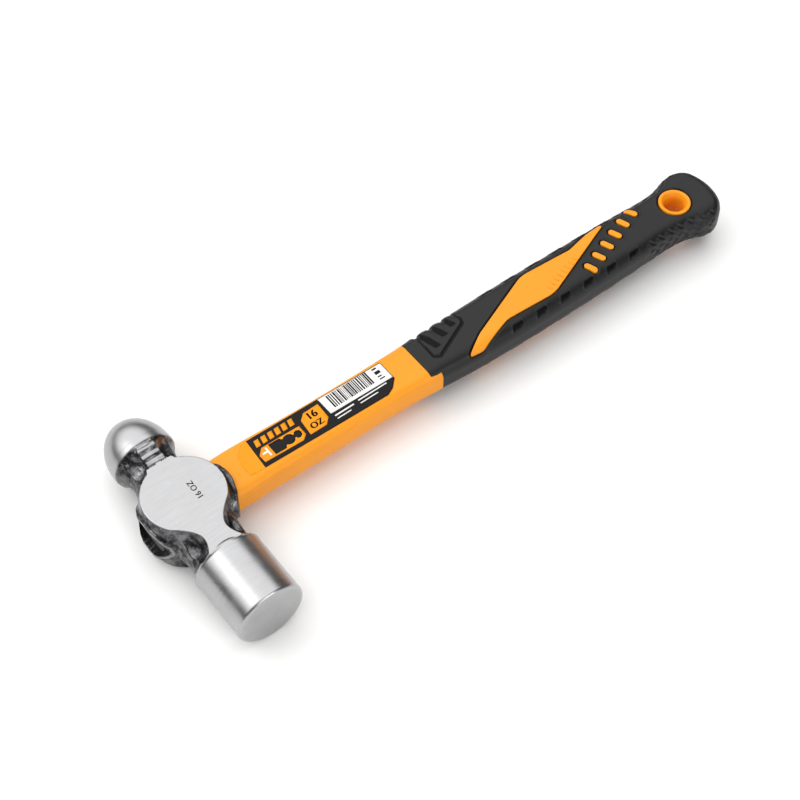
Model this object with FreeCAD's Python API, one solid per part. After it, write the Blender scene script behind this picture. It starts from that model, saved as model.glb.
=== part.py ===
import FreeCAD, Part
import math
import os

# Ball peen hammer, 16 oz class, fibreglass handle.  Millimetres.
# The hammer lies on its side.  +X runs along the handle to the butt, +Y along the
# striking axis to the ball, +Z is up, square to the flat cheek of the head.
# Everything is first built about the point where the handle axis crosses the
# striking axis, then moved so that the origin is the bottom centre of the box.

V = FreeCAD.Vector
X_AXIS = V(1, 0, 0)
Y_AXIS = V(0, 1, 0)
Z_AXIS = V(0, 0, 1)

# --- head: striking axis -------------------------------------------------------
POLL_R = 15.0            # striking cylinder
POLL_FACE_Y = 58.0       # eye centre to striking face
POLL_BACK_Y = 29.0       # eye centre to the back of the striking cylinder
FACE_R = 13.1            # flat of the striking face, inside its rounded edge
FACE_EDGE = 1.4          # depth of the rounded edge of the face
POLL_NECK = [            # radius and distance from the eye centre, towards the eye
    (14.4, 27.4),
    (13.2, 26.3),
    (12.7, 23.2),
    (12.9, 19.0),
    (13.5, 14.0),
]
BALL_R = 14.1            # widest radius of the peen
BALL_Y = 33.0            # where the peen is widest
BALL_TIP_Y = 50.6        # eye centre to the tip of the peen
DOME_STEPS = 12          # points on a quarter of its outline
BALL_RIM_R = 13.8        # back rim of the peen
BALL_RIM_Y = 29.4
BALL_NECK = [            # the same on the peen side, away from the eye
    (12.5, 12.0),
    (11.6, 18.5),
    (10.9, 22.6),
    (11.9, 26.4),
    (12.6, 28.2),
]

# --- head: eye -----------------------------------------------------------------
CHEEK_Z = 14.2           # half the distance between the two ground cheeks
CHEEK_R = 17.2           # radius of the ground cheek
BODY_R = 18.9            # radius of the barrel at mid height
EYE_R = 19.4             # the open eye boss ends on a cylinder of this radius about Z
SEAT_R = 20.5            # the boss under the handle ends on this radius
BOSS_Y = 13.5            # half length of the oval eye boss
BOSS_Z = 9.8             # half height of the oval eye boss
EYE_Y = 11.4             # half length of the oval hole
EYE_Z = 7.2              # half height of the oval hole
MOUTH_FLARE = 1.1        # how much the hole opens at its outer end
MOUTH_DEPTH = 6.0
POLL_WEB = [             # one side of the ground flat towards the striking cylinder
    (8.6, 14.8),
    (6.0, 18.8),
    (5.4, 21.5),
    (5.9, 25.5),
    (7.2, 28.5),
]
BALL_WEB_X = 5.2         # half width of the ground flat towards the peen
BALL_WEB_Y = 17.8        # where that flat ends in a step
BALL_WEB_ROOT_Y = 12.0   # where it leaves the cheek
BALL_WEB_SPREAD = 3.0    # how much wider it is there
RIDGE_X = 4.6            # half width of the stepped ridge on the peen neck
RIDGE_STEPS = [          # end of each step along Y, height
    (21.4, 10.9),
    (22.6, 10.3),
    (26.0, 11.5),
    (27.0, 10.9),
    (30.0, 12.6),
]
HOLLOW_R = 7.2           # forged hollows beside the necks
POCKET_R = 7.0           # upright forged pockets between eye and striking neck
POCKET_D = 22.9          # their distance from the eye's centre
POCKET_ANGLE = 52.0      # and direction, from the handle axis
HOLLOWS = [              # centre: X, Y, Z
    (11.2, -21.6, 13.2),
    (9.6, 22.8, 12.6),
]

# --- core and bond ---------------------------------------------------------------
CORE_Y = 8.5             # half width of the fibreglass rod
CORE_Z = 4.7             # half thickness
CORE_EDGE = 4.6          # corner radius: the rod's narrow sides are nearly round
CORE_TOP_X = -16.6       # end of the rod inside the eye
CORE_END_X = 246.0       # end of the rod inside the grip
RESIN_TOP_X = -15.2      # level of the poured resin in the eye

# --- handle ----------------------------------------------------------------------
NECK_Z = 7.2             # half thickness of the bare neck
GRIP_X = 114.0           # where the rubber grip starts
BUTT_X = 278.6           # end of the handle
RUBBER = 2.4             # thickness of the rubber over the plastic
BASE_END_X = 270.0       # end of the plastic under the rubber
HOLE_X = 258.6           # hanging hole
HOLE_Y = -2.2
HOLE_R = 4.5
EYELET_R = 7.3
FUNNEL_R = 6.0           # mouth of the hole
FUNNEL_DEPTH = 1.9
CAP_R = 23.0             # plan radius of the butt
CAP_ROUND = 5.0          # rounding of its edge

# Handle stations: distance along X, drift of the centre line, half width,
# half thickness, corner radius.
NECK = [
    (14.0, 1.1, 11.2, NECK_Z, 4.6),
    (24.0, 1.1, 11.5, NECK_Z, 4.6),
    (36.0, 1.0, 11.2, NECK_Z, 4.4),
    (52.0, 0.5, 10.9, NECK_Z, 4.2),
    (68.0, 0.2, 10.7, NECK_Z, 4.2),
    (90.0, 0.0, 10.7, NECK_Z, 4.2),
    (104.0, -0.2, 11.0, NECK_Z, 4.3),
    (120.0, -0.5, 11.3, NECK_Z, 4.4),
]
GRIP = [
    (GRIP_X, -0.5, 11.8, 7.8, 5.4),
    (124.0, -0.8, 12.1, 8.1, 5.8),
    (140.0, -1.2, 12.8, 8.4, 6.3),
    (160.0, -1.5, 13.2, 8.6, 6.6),
    (185.0, -1.8, 13.2, 8.6, 6.6),
    (210.0, -2.0, 12.9, 8.4, 6.4),
    (232.0, -2.1, 12.5, 8.1, 6.2),
    (246.0, -2.3, 12.0, 7.9, 6.0),
    (254.0, -2.5, 12.4, 8.0, 6.2),
    (262.0, -2.7, 13.7, 8.4, 6.5),
    (268.0, -2.9, 15.1, 8.9, 6.9),
    (273.0, -2.9, 15.6, 9.2, 7.0),
    (BUTT_X + 4.0, -2.9, 15.6, 9.3, 7.0),
]

# --- grip details ------------------------------------------------------------------
INLAY = [                # outline of the coloured inlay, seen from above
    (132.6, -13.0),
    (140.0, -13.4),
    (157.5, -7.6),
    (181.5, -8.8),
    (187.0, -6.8),
    (223.4, 6.6),
    (222.6, 8.2),
    (215.0, 7.4),
    (203.0, 5.0),
    (178.6, 6.6),
    (174.5, 5.6),
    (146.0, -5.6),
]
MARKS = 6                # plain raised pads in a slanting row
MARK_START = (203.5, -7.8)
MARK_END = (239.6, 3.6)
MARK_LONG = 6.4
MARK_WIDE = 2.6
PIPS = 6                 # finger slots along each edge
PIP_FIRST_X = 159.7
PIP_PITCH = 13.1
PIP_LONG = 5.2
PIP_WIDE = 2.6
PIP_Y = 10.6             # from the centre line
PIP_Z = 7.4              # height of the grip's shoulder there
PIP_TILT = 38.0          # slope of the shoulder, degrees
PIP_DEPTH = 0.9
THUMB_SLOTS = [          # three ribbed slots behind the front of the grip: X, length
    (126.5, 8.0),
    (131.6, 6.2),
    (136.8, 4.4),
]
THUMB_WIDE = 2.4
THUMB_Y = 9.0            # outer end of the slots, from the centre line
THUMB_Z = 8.1
THUMB_DEPTH = 1.0

# --- label -----------------------------------------------------------------------
LABEL = [                # outline of the sticker with its cut corners
    (30.0, 7.4),
    (102.0, 7.4),
    (102.0, -2.4),
    (97.0, -7.4),
    (32.5, -7.4),
    (27.5, -2.9),
    (27.5, 3.9),
]
LABEL_SHIFT = 1.0        # off the handle axis
LABEL_Z = 0.15

BOX_CENTRE_X = (BUTT_X - EYE_R) / 2
BOX_CENTRE_Y = (BALL_TIP_Y - POLL_FACE_Y) / 2
ENDLESS = 80.0           # length of cutting bodies that pass right through
TO_ORIGIN = V(-BOX_CENTRE_X, -BOX_CENTRE_Y, POLL_R)


def line(a, b):
    """Straight edge."""
    return Part.makeLine(a, b)


def arc(a, mid, b):
    """Round edge through three points."""
    return Part.Arc(a, mid, b).toShape()


def upright(radius, x=0.0, y=0.0):
    """Long cylinder parallel to Z."""
    return Part.makeCylinder(radius, ENDLESS, V(x, y, -ENDLESS / 2))


def slab(x0, x1):
    """Block that covers everything between two distances along X."""
    return Part.makeBox(x1 - x0, ENDLESS, ENDLESS, V(x0, -ENDLESS / 2, -ENDLESS / 2))


def polygon(points, z0, height):
    """Upright prism on a plan outline."""
    corners = [V(x, y, z0) for x, y in points]
    wire = Part.makePolygon(corners + corners[:1])
    return Part.Face(wire).extrude(V(0, 0, height))


def oval_wire(half_y, half_z, x):
    """Oval outline square to X."""
    ellipse = Part.Ellipse(V(x, 0, 0), half_y, half_z)
    ellipse.Axis = X_AXIS
    ellipse.XAxis = Y_AXIS
    return Part.Wire(ellipse.toShape())


def oval(half_y, half_z, x0, length):
    """Oval prism along X."""
    return Part.Face(oval_wire(half_y, half_z, x0)).extrude(V(length, 0, 0))


def rounded_section(x, centre, half_w, half_t, r):
    """Cross-section of the handle: flats joined by round corners."""
    wy = half_w - r
    tz = half_t - r
    k = r * math.sqrt(0.5)
    c = centre
    edges = []
    for sy, sz in ((1, 1), (-1, 1), (-1, -1), (1, -1)):
        side = V(x, c + sy * half_w, sz * tz)
        middle = V(x, c + sy * (wy + k), sz * (tz + k))
        crown = V(x, c + sy * wy, sz * half_t)
        if sy * sz > 0:
            edges.append(arc(side, middle, crown))
            edges.append(line(crown, V(x, c - sy * wy, sz * half_t)))
        else:
            edges.append(arc(crown, middle, side))
            edges.append(line(side, V(x, c + sy * half_w, -sz * tz)))
    return Part.Wire(edges)


def handle_body(stations, inset=0.0):
    """Smooth bar through the handle stations, shrunk all round by inset."""
    wires = []
    for x, centre, half_w, half_t, r in stations:
        corner = max(r - inset, 1.0)
        wires.append(rounded_section(x, centre, half_w - inset, half_t - inset, corner))
    return Part.makeLoft(wires, True, False)


def centre_line(x):
    """Drift of the grip's centre line at a distance along X."""
    for before, after in zip(GRIP, GRIP[1:]):
        if x <= after[0]:
            t = (x - before[0]) / (after[0] - before[0])
            return before[1] + t * (after[1] - before[1])
    return GRIP[-1][1]


def make_head():
    """Forged head: striking cylinder, necks, peen and barrel-shaped eye."""
    face_mid_r = POLL_R - (POLL_R - FACE_R) * (1 - math.sqrt(0.5))
    face_mid_y = -POLL_FACE_Y + FACE_EDGE * (1 - math.sqrt(0.5))
    dome = []
    for k in range(1, DOME_STEPS):
        t = math.radians(90 * k / DOME_STEPS)
        dome.append(V(BALL_R * math.cos(t), BALL_Y + (BALL_TIP_Y - BALL_Y) * math.sin(t), 0))
    dome_curve = Part.BSplineCurve()
    dome_points = [V(BALL_R, BALL_Y, 0)] + dome + [V(0, BALL_TIP_Y, 0)]
    dome_curve.interpolate(Points=dome_points, InitialTangent=V(0, 1, 0), FinalTangent=V(-1, 0, 0))
    p = [V(r, -y, 0) for r, y in POLL_NECK]
    b = [V(r, y, 0) for r, y in BALL_NECK]
    profile = Part.Wire([
        line(V(0, -POLL_FACE_Y, 0), V(FACE_R, -POLL_FACE_Y, 0)),
        arc(V(FACE_R, -POLL_FACE_Y, 0), V(face_mid_r, face_mid_y, 0),
            V(POLL_R, -POLL_FACE_Y + FACE_EDGE, 0)),
        line(V(POLL_R, -POLL_FACE_Y + FACE_EDGE, 0), V(POLL_R, -POLL_BACK_Y, 0)),
        arc(V(POLL_R, -POLL_BACK_Y, 0), p[0], p[1]),
        arc(p[1], p[2], p[3]),
        line(p[3], p[4]),
        line(p[4], b[0]),
        line(b[0], b[1]),
        arc(b[1], b[2], b[3]),
        arc(b[3], b[4], V(BALL_RIM_R, BALL_RIM_Y, 0)),
        line(V(BALL_RIM_R, BALL_RIM_Y, 0), V(BALL_R, BALL_Y, 0)),
        dome_curve.toShape(),
        line(V(0, BALL_TIP_Y, 0), V(0, -POLL_FACE_Y, 0)),
    ])
    strike = Part.Face(profile).revolve(V(0, 0, 0), Y_AXIS, 360)

    barrel_profile = Part.Wire([
        line(V(0, 0, -CHEEK_Z), V(CHEEK_R, 0, -CHEEK_Z)),
        arc(V(CHEEK_R, 0, -CHEEK_Z), V(BODY_R, 0, 0), V(CHEEK_R, 0, CHEEK_Z)),
        line(V(CHEEK_R, 0, CHEEK_Z), V(0, 0, CHEEK_Z)),
        line(V(0, 0, CHEEK_Z), V(0, 0, -CHEEK_Z)),
    ])
    barrel = Part.Face(barrel_profile).revolve(V(0, 0, 0), Z_AXIS, 360)

    eye_boss = oval(BOSS_Y, BOSS_Z, -EYE_R - 2, EYE_R + 2).common(upright(EYE_R))
    seat_boss = oval(BOSS_Y, BOSS_Z, 0, SEAT_R + 2).common(upright(SEAT_R))

    right = [(x, -y) for x, y in POLL_WEB]
    left = [(-x, -y) for x, y in reversed(POLL_WEB)]
    poll_web = polygon(right + left, -CHEEK_Z, 2 * CHEEK_Z)
    w = BALL_WEB_X
    root = w + BALL_WEB_SPREAD
    flat = [(-root, BALL_WEB_ROOT_Y), (-w, BALL_WEB_Y), (w, BALL_WEB_Y), (root, BALL_WEB_ROOT_Y)]
    ball_web = polygon(flat, -CHEEK_Z, 2 * CHEEK_Z)

    hollows = []
    for x, y, z in HOLLOWS:
        for sx in (1, -1):
            for sz in (1, -1):
                hollows.append(Part.makeSphere(HOLLOW_R, V(sx * x, y, sz * z)))
    strike = strike.cut(hollows)
    corners = []
    for sx in (1, -1):
        x = sx * POCKET_D * math.cos(math.radians(POCKET_ANGLE))
        y = -POCKET_D * math.sin(math.radians(POCKET_ANGLE))
        corners.append(upright(POCKET_R, x, y))
    barrel = barrel.cut(corners)

    ridge = []
    start = BALL_WEB_ROOT_Y
    for end, height in RIDGE_STEPS:
        corner = V(-RIDGE_X, start, -height)
        ridge.append(Part.makeBox(2 * RIDGE_X, end - start, 2 * height, corner))
        start = end

    head = barrel.fuse([strike, eye_boss, seat_boss, poll_web, ball_web] + ridge)
    head = head.removeSplitter()

    hole = oval(EYE_Y, EYE_Z, -ENDLESS / 2, ENDLESS)
    mouth = Part.makeLoft([
        oval_wire(EYE_Y + 2 * MOUTH_FLARE, EYE_Z + 2 * MOUTH_FLARE, -EYE_R - MOUTH_DEPTH),
        oval_wire(EYE_Y, EYE_Z, -EYE_R + MOUTH_DEPTH),
    ], True, True)
    return head.cut([hole, mouth])


def make_core():
    """Pultruded fibreglass rod from the eye to just short of the hanging hole."""
    section = rounded_section(CORE_TOP_X, 0, CORE_Y, CORE_Z, CORE_EDGE)
    return Part.Face(section).extrude(V(CORE_END_X - CORE_TOP_X, 0, 0))


def make_resin(core):
    """Epoxy that fills the eye round the rod."""
    fill = oval(EYE_Y, EYE_Z, RESIN_TOP_X, ENDLESS)
    return fill.common(upright(SEAT_R)).cut(core)


def slanted_pad(x, y, long, wide, angle, z0, height):
    """Upright prism with round ends, turned in plan."""
    half = (long - wide) / 2
    r = wide / 2
    a = V(-half, -r, z0)
    b = V(half, -r, z0)
    c = V(half, r, z0)
    d = V(-half, r, z0)
    wire = Part.Wire([line(a, b), arc(b, V(half + r, 0, z0), c),
                      line(c, d), arc(d, V(-half - r, 0, z0), a)])
    pad = Part.Face(wire).extrude(V(0, 0, height))
    pad.rotate(V(0, 0, 0), Z_AXIS, angle)
    pad.translate(V(x, y, 0))
    return pad


def mark_places():
    """Centres of the plain marks and the slant of their row."""
    dx = (MARK_END[0] - MARK_START[0]) / (MARKS - 1)
    dy = (MARK_END[1] - MARK_START[1]) / (MARKS - 1)
    places = []
    for k in range(MARKS):
        places.append((MARK_START[0] + k * dx, MARK_START[1] + k * dy))
    return places, math.degrees(math.atan2(dy, dx))


def grip_outside():
    """Outer form of the rubber grip, butt rounded off."""
    body = handle_body(GRIP)
    y = GRIP[-1][1]
    cap = upright(CAP_R, BUTT_X - CAP_R, y)
    blank = body.common(cap.fuse(slab(GRIP_X, BUTT_X - CAP_R)).removeSplitter())
    rim = [edge for edge in blank.Edges if edge.BoundBox.XMin > BUTT_X - CAP_R / 2]
    return blank.makeFillet(CAP_ROUND, rim)


def make_jacket(outside, core):
    """Moulded plastic jacket: bare neck, hidden base of the grip, raised windows and eyelet."""
    neck = handle_body(NECK)
    neck = neck.common(slab(0, GRIP_X)).cut(upright(SEAT_R))
    base = handle_body(GRIP, RUBBER)
    base = base.common(slab(GRIP_X, BASE_END_X))

    raised = polygon(INLAY, -ENDLESS / 2, ENDLESS)
    marks = []
    places, slant = mark_places()
    for x, y in places:
        marks.append(slanted_pad(x, y, MARK_LONG, MARK_WIDE, slant + 90, -ENDLESS / 2, ENDLESS))
    eyelet = upright(EYELET_R, HOLE_X, HOLE_Y)
    windows = raised.fuse(marks + [eyelet]).common(outside)
    jacket = neck.fuse([base, windows])

    bore = upright(HOLE_R, HOLE_X, HOLE_Y)
    tools = [core, bore]
    top = eyelet_height(outside)
    for way in (1, -1):
        floor = V(HOLE_X, HOLE_Y, way * (top - FUNNEL_DEPTH))
        funnel = Part.makeCone(HOLE_R, FUNNEL_R, FUNNEL_DEPTH, floor, V(0, 0, way))
        mouth = Part.makeCylinder(FUNNEL_R, ENDLESS, V(HOLE_X, HOLE_Y, way * top), V(0, 0, way))
        tools += [funnel, mouth]
    return jacket.cut(tools)


def eyelet_height(outside):
    """Height of the grip's surface over the hanging hole."""
    probe = line(V(HOLE_X, HOLE_Y, 0), V(HOLE_X, HOLE_Y, ENDLESS))
    return probe.common(outside).BoundBox.ZMax


def make_grip(outside, jacket, core):
    """Soft rubber overmoulding with finger slots and thumb ribs."""
    bore = upright((FUNNEL_R + EYELET_R) / 2, HOLE_X, HOLE_Y)
    pockets = []
    for k in range(PIPS):
        x = PIP_FIRST_X + k * PIP_PITCH
        for side in (1, -1):
            y = centre_line(x) + side * PIP_Y
            for way in (1, -1):
                z = PIP_Z - PIP_DEPTH
                pocket = slanted_pad(0, 0, PIP_LONG, PIP_WIDE, 0, 0, PIP_Z)
                pocket.rotate(V(0, 0, 0), X_AXIS, -side * PIP_TILT)
                if way < 0:
                    pocket.rotate(V(0, 0, 0), X_AXIS, 180)
                    pocket = pocket.mirror(V(0, 0, 0), Y_AXIS)
                pocket.translate(V(x, y, way * z))
                pockets.append(pocket)
    for x, long in THUMB_SLOTS:
        y = centre_line(x) + THUMB_Y
        for way in (1, -1):
            slot = slanted_pad(0, 0, long, THUMB_WIDE, 90, 0, THUMB_Z)
            if way < 0:
                slot = slot.mirror(V(0, 0, 0), Z_AXIS)
            slot.translate(V(x, y - long / 2, way * (THUMB_Z - THUMB_DEPTH)))
            pockets.append(slot)
    return outside.cut([jacket, core, bore] + pockets)


def make_label():
    """Printed sticker on the flat of the bare neck."""
    places = [(x, y + LABEL_SHIFT) for x, y in LABEL]
    return polygon(places, NECK_Z, LABEL_Z)


def single(shape):
    """The one solid of a boolean result."""
    solids = shape.Solids
    if len(solids) != 1:
        raise RuntimeError("expected one solid, got %d" % len(solids))
    return solids[0]


def main():
    core = make_core()
    outside = grip_outside()
    jacket = make_jacket(outside, core)
    parts = {
        "hammer_head": make_head(),
        "fibreglass_core": core,
        "eye_resin": make_resin(core),
        "handle_jacket": jacket,
        "rubber_grip": make_grip(outside, jacket, core),
        "neck_label": make_label(),
    }
    print("hanging hole, land of the bore", round(2 * (eyelet_height(outside) - FUNNEL_DEPTH), 2))
    os.makedirs("parts", exist_ok=True)
    for name, shape in parts.items():
        solid = single(shape)
        solid.translate(TO_ORIGIN)
        solid.exportStep("parts/%s.step" % name)
        box = solid.optimalBoundingBox(False)
        print(name, solid.isValid(), round(solid.Volume / 1000, 2), "cm3,",
              [round(v, 2) for v in (box.XMin, box.XMax, box.YMin, box.YMax, box.ZMin, box.ZMax)])


main()
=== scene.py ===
import math

import bmesh
import bpy
import numpy as np
from mathutils import Matrix, Vector, geometry, noise


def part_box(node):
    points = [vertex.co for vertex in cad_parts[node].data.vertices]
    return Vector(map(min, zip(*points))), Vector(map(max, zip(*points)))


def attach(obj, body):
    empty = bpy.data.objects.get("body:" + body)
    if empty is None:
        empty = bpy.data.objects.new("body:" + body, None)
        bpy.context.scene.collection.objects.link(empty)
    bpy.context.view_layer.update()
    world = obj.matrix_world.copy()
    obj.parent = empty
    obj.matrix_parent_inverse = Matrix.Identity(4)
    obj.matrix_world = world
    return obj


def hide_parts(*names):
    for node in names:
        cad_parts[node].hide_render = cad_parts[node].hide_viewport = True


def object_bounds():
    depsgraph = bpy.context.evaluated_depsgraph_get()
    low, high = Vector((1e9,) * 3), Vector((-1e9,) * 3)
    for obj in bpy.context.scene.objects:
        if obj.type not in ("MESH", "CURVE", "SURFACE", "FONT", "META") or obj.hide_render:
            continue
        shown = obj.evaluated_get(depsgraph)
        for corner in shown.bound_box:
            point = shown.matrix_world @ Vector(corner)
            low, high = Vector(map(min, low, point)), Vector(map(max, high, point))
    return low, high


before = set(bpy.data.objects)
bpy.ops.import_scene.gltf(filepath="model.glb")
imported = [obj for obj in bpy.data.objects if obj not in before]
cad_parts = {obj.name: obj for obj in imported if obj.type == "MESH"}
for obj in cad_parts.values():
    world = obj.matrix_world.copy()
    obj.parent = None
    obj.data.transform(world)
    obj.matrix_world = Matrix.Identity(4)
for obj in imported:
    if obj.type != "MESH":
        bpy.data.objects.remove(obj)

# --- Where everything is ----------------------------------------------------------------
# All sizes are millimetres from the eye's centre, where the handle's axis crosses the
# striking axis: +X to the butt, +Y to the peen, +Z out of the upper cheek.
cad_low, cad_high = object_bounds()
head_low, head_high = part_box("hammer_head")
MM = 0.001
EYE_REACH = 19.4         # eye's centre to the open end of the eye
PEEN_REACH = 50.6        # eye's centre to the tip of the peen
eye_centre = Vector((head_low.x + EYE_REACH * MM, head_high.y - PEEN_REACH * MM,
                     (head_low.z + head_high.z) / 2))


# --- Camera, lights and bench -----------------------------------------------------------
# A long lens looks down on the hammer from the open end of the eye.  A bright sky over a
# dark horizon gives the steel its bright and dark bands.
VIEW_AZIMUTH = math.radians(-37.964)
VIEW_ELEVATION = math.radians(54.808)
VIEW_ROLL = math.radians(0.268)
VIEW_DISTANCE = 724.66
VIEW_AIM = (99.77, -8.48, 0.0)

back = Vector((math.sin(VIEW_AZIMUTH) * math.cos(VIEW_ELEVATION),
               -math.cos(VIEW_AZIMUTH) * math.cos(VIEW_ELEVATION), math.sin(VIEW_ELEVATION)))
level = Vector((math.cos(VIEW_AZIMUTH), math.sin(VIEW_AZIMUTH), 0))
upward = back.cross(level)
right = math.cos(VIEW_ROLL) * level + math.sin(VIEW_ROLL) * upward
lens = bpy.data.cameras.new("camera")
lens.sensor_width = 36
lens.lens = 78.94
camera = bpy.data.objects.new("camera", lens)
camera.matrix_world = Matrix((right, back.cross(right), back)).transposed().to_4x4()
camera.location = eye_centre + (Vector(VIEW_AIM) + back * VIEW_DISTANCE) * MM
bpy.context.collection.objects.link(camera)
bpy.context.scene.camera = camera
bpy.context.scene.view_settings.view_transform = "Standard"


def linear(hex_colour):
    """An sRGB hex colour as linear red, green, blue and alpha."""
    channels = []
    for k in (1, 3, 5):
        c = int(hex_colour[k:k + 2], 16) / 255
        channels.append(c / 12.92 if c <= 0.04045 else ((c + 0.055) / 1.055) ** 2.4)
    return (*channels, 1.0)


def add(tree, kind, inputs=None, **settings):
    """Adds a node with its settings; an input is a value or a socket to link."""
    node = tree.nodes.new(kind)
    for name, value in settings.items():
        setattr(node, name, value)
    for socket, value in (inputs or {}).items():
        if isinstance(value, bpy.types.NodeSocket):
            tree.links.new(value, node.inputs[socket])
        else:
            node.inputs[socket].default_value = value
    return node


def blank_material(name):
    """A material with an empty node tree."""
    material = bpy.data.materials.new(name)
    material.use_nodes = True
    material.node_tree.nodes.clear()
    return material, material.node_tree


def finish_material(tree, shader):
    """Sends the shader to the surface."""
    add(tree, "ShaderNodeOutputMaterial", {"Surface": shader.outputs[0]})


def soft_box(name, place, aim, width, height, power):
    """Area light at a place, turned to a point; both in millimetres from the eye's centre."""
    light = bpy.data.lights.new(name, "AREA")
    light.shape = "RECTANGLE"
    light.size = width * MM
    light.size_y = height * MM
    light.energy = power
    lamp = bpy.data.objects.new(name, light)
    lamp.location = eye_centre + Vector(place) * MM
    toward = (Vector(aim) - Vector(place)).normalized()
    lamp.rotation_euler = toward.to_track_quat("-Z", "Y").to_euler()
    bpy.context.collection.objects.link(lamp)


soft_box("key_box", (-420, 380, 720), (60, 0, 0), 420, 420, 0.9)
soft_box("side_box", (140, -760, 330), (120, 0, 0), 560, 360, 2.6)

# A bright cap of sky over a dark horizon.
SKY_AXIS = Vector((-0.1, 0.35, 0.93)).normalized()
world = bpy.data.worlds.new("studio")
world.use_nodes = True
tree = world.node_tree
tree.nodes.clear()
direction = add(tree, "ShaderNodeTexCoord").outputs["Generated"]
toward_sky = add(tree, "ShaderNodeVectorMath", {0: direction, 1: SKY_AXIS},
                 operation="DOT_PRODUCT")
sky = add(tree, "ShaderNodeMapRange", {
    "Value": toward_sky.outputs["Value"], "From Min": 0.5, "From Max": 0.7, "To Min": 0.1,
    "To Max": 1.8}, interpolation_type="SMOOTHSTEP")
light = add(tree, "ShaderNodeBackground", {"Color": linear("#FFFFFF"), "Strength": sky.outputs[0]})
add(tree, "ShaderNodeOutputWorld", {"Surface": light.outputs[0]})
bpy.context.scene.world = world

bench_material, tree = blank_material("white_paper_sweep")
# Matt white paper with hardly any shine.
finish_material(tree, add(tree, "ShaderNodeBsdfPrincipled", {
    "Base Color": linear("#F7F7F6"), "Roughness": 0.9}))
SWEEP = 10.0             # half width in metres, so that no edge shows from any side
bench_mesh = bpy.data.meshes.new("bench")
bench_corners = [(-SWEEP, -SWEEP, cad_low.z), (SWEEP, -SWEEP, cad_low.z),
                 (SWEEP, SWEEP, cad_low.z), (-SWEEP, SWEEP, cad_low.z)]
bench_mesh.from_pydata(bench_corners, [], [(0, 1, 2, 3)])
bench_mesh.materials.append(bench_material)
bench = bpy.data.objects.new("bench", bench_mesh)
bpy.context.collection.objects.link(bench)


# --- Hammer head ------------------------------------------------------------------------
# One drop forging of carbon steel.  The striking cylinder, the peen and both cheeks are
# turned or ground bright; the necks and the eye keep their dark forging scale.
POLL_R = 14.99
FACE_Y = -58.0
FACE_R = 13.1
FACE_EDGE = 1.4
PEEN_R = 14.1
PEEN_Y = 33.0            # where the peen is widest
CHEEK_Z = 14.2
CHEEK_R = 17.2           # radius of the ground cheek
BODY_R = 18.9            # radius of the barrel at mid height
SEAT_R = 20.5            # the boss under the handle ends on this radius
BOSS_Y = 13.5
BOSS_Z = 9.8
EYE_Y = 11.0             # half length of the open eye at its floor
EYE_Z = 6.1
EYE_FLOOR = 14.9
NECK_PROFILE = [         # distance along Y and radius of the turned outline
    (-29.0, 14.99), (-28.2, 14.85), (-27.4, 14.4), (-26.7, 13.7), (-26.0, 13.1), (-23.2, 12.7),
    (-19.0, 12.9), (-14.0, 13.5), (0.0, 13.0), (12.0, 12.5), (18.5, 11.6), (22.6, 10.9),
    (26.0, 11.6), (27.6, 12.2), (28.6, 12.9), (29.4, 13.7), (30.2, 13.95), (33.0, 14.1),
]
POLL_FLAT = [            # along Y: half width of the ground flat, slope of its flanks
    (-29.5, 7.6, 0.5), (-28.0, 6.9, 0.5), (-26.2, 6.1, 0.45), (-24.0, 5.3, 0.4),
    (-20.5, 5.2, 0.25), (-18.8, 5.9, 0.2), (-16.8, 7.2, 0.14), (-14.8, 8.9, 0.1),
    (-13.0, 10.8, 0.08), (-11.5, 12.6, 0.07), (-10.0, 13.9, 0.05),
]
PEEN_FLANK = 0.4
PEEN_FLAT_X = 5.6
PEEN_FLAT_Y = 17.8
RIDGE_X = (-3.7, 4.7)     # the ridge stands a little off the middle
RIDGE_STEPS = [          # end of each turned step along Y, and its height
    (21.4, 10.9), (22.9, 11.3), (24.0, 10.6), (26.0, 11.5), (27.2, 10.9), (30.0, 12.6),
]
HOLLOW_R = 7.2           # forged hollows beside the necks: X, Y and Z of their centres
HOLLOWS = [(11.2, -21.6, 13.2), (9.6, 22.8, 12.6)]
POCKET_R = 8.0           # upright pockets between the eye and the striking neck
POCKET_X = 15.3
POCKET_Y = -18.8
COLUMNS = 520            # points round the striking axis
ROW_STEP = 0.25          # spacing of the rows of points on the forged stretch
FORGED_END = 29.0        # the cheeks and necks lie within this distance of the eye
FLAT_FILLET = 0.9        # how softly the flats, the boss and the ridge run into the rest
BOSS_FILLET = 1.6
RIDGE_FILLET = 0.15
RIDGE_BRIGHT = [(20.6, 22.8), (24.1, 26.0), (27.3, 29.9)]    # stretches of the ridge worn bright


def soft_max(a, b, k):
    """The larger of two, with a fillet of about k."""
    return 0.5 * (a + b + np.sqrt((a - b) ** 2 + k * k))


def soft_min(a, b, k):
    """The smaller of two, with a round of about k."""
    return 0.5 * (a + b - np.sqrt((a - b) ** 2 + k * k))


def ramp(value, start, end):
    """Smooth step from 0 at start to 1 at end."""
    t = np.clip((value - start) / (end - start), 0, 1)
    return t * t * (3 - 2 * t)


def through(table, x, column=1):
    """Smooth curve through a column of a table, by distance along it."""
    rows = np.array(table, float)
    knots, values = rows[:, 0], rows[:, column]
    slopes = np.gradient(values, knots)
    x = np.clip(x, knots[0], knots[-1])
    k = np.clip(np.searchsorted(knots, x) - 1, 0, len(knots) - 2)
    h = knots[k + 1] - knots[k]
    t = (x - knots[k]) / h
    return ((2 * t ** 3 - 3 * t ** 2 + 1) * values[k] + (t ** 3 - 2 * t ** 2 + t) * h * slopes[k]
            + (3 * t ** 2 - 2 * t ** 3) * values[k + 1] + (t ** 3 - t ** 2) * h * slopes[k + 1])


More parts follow.
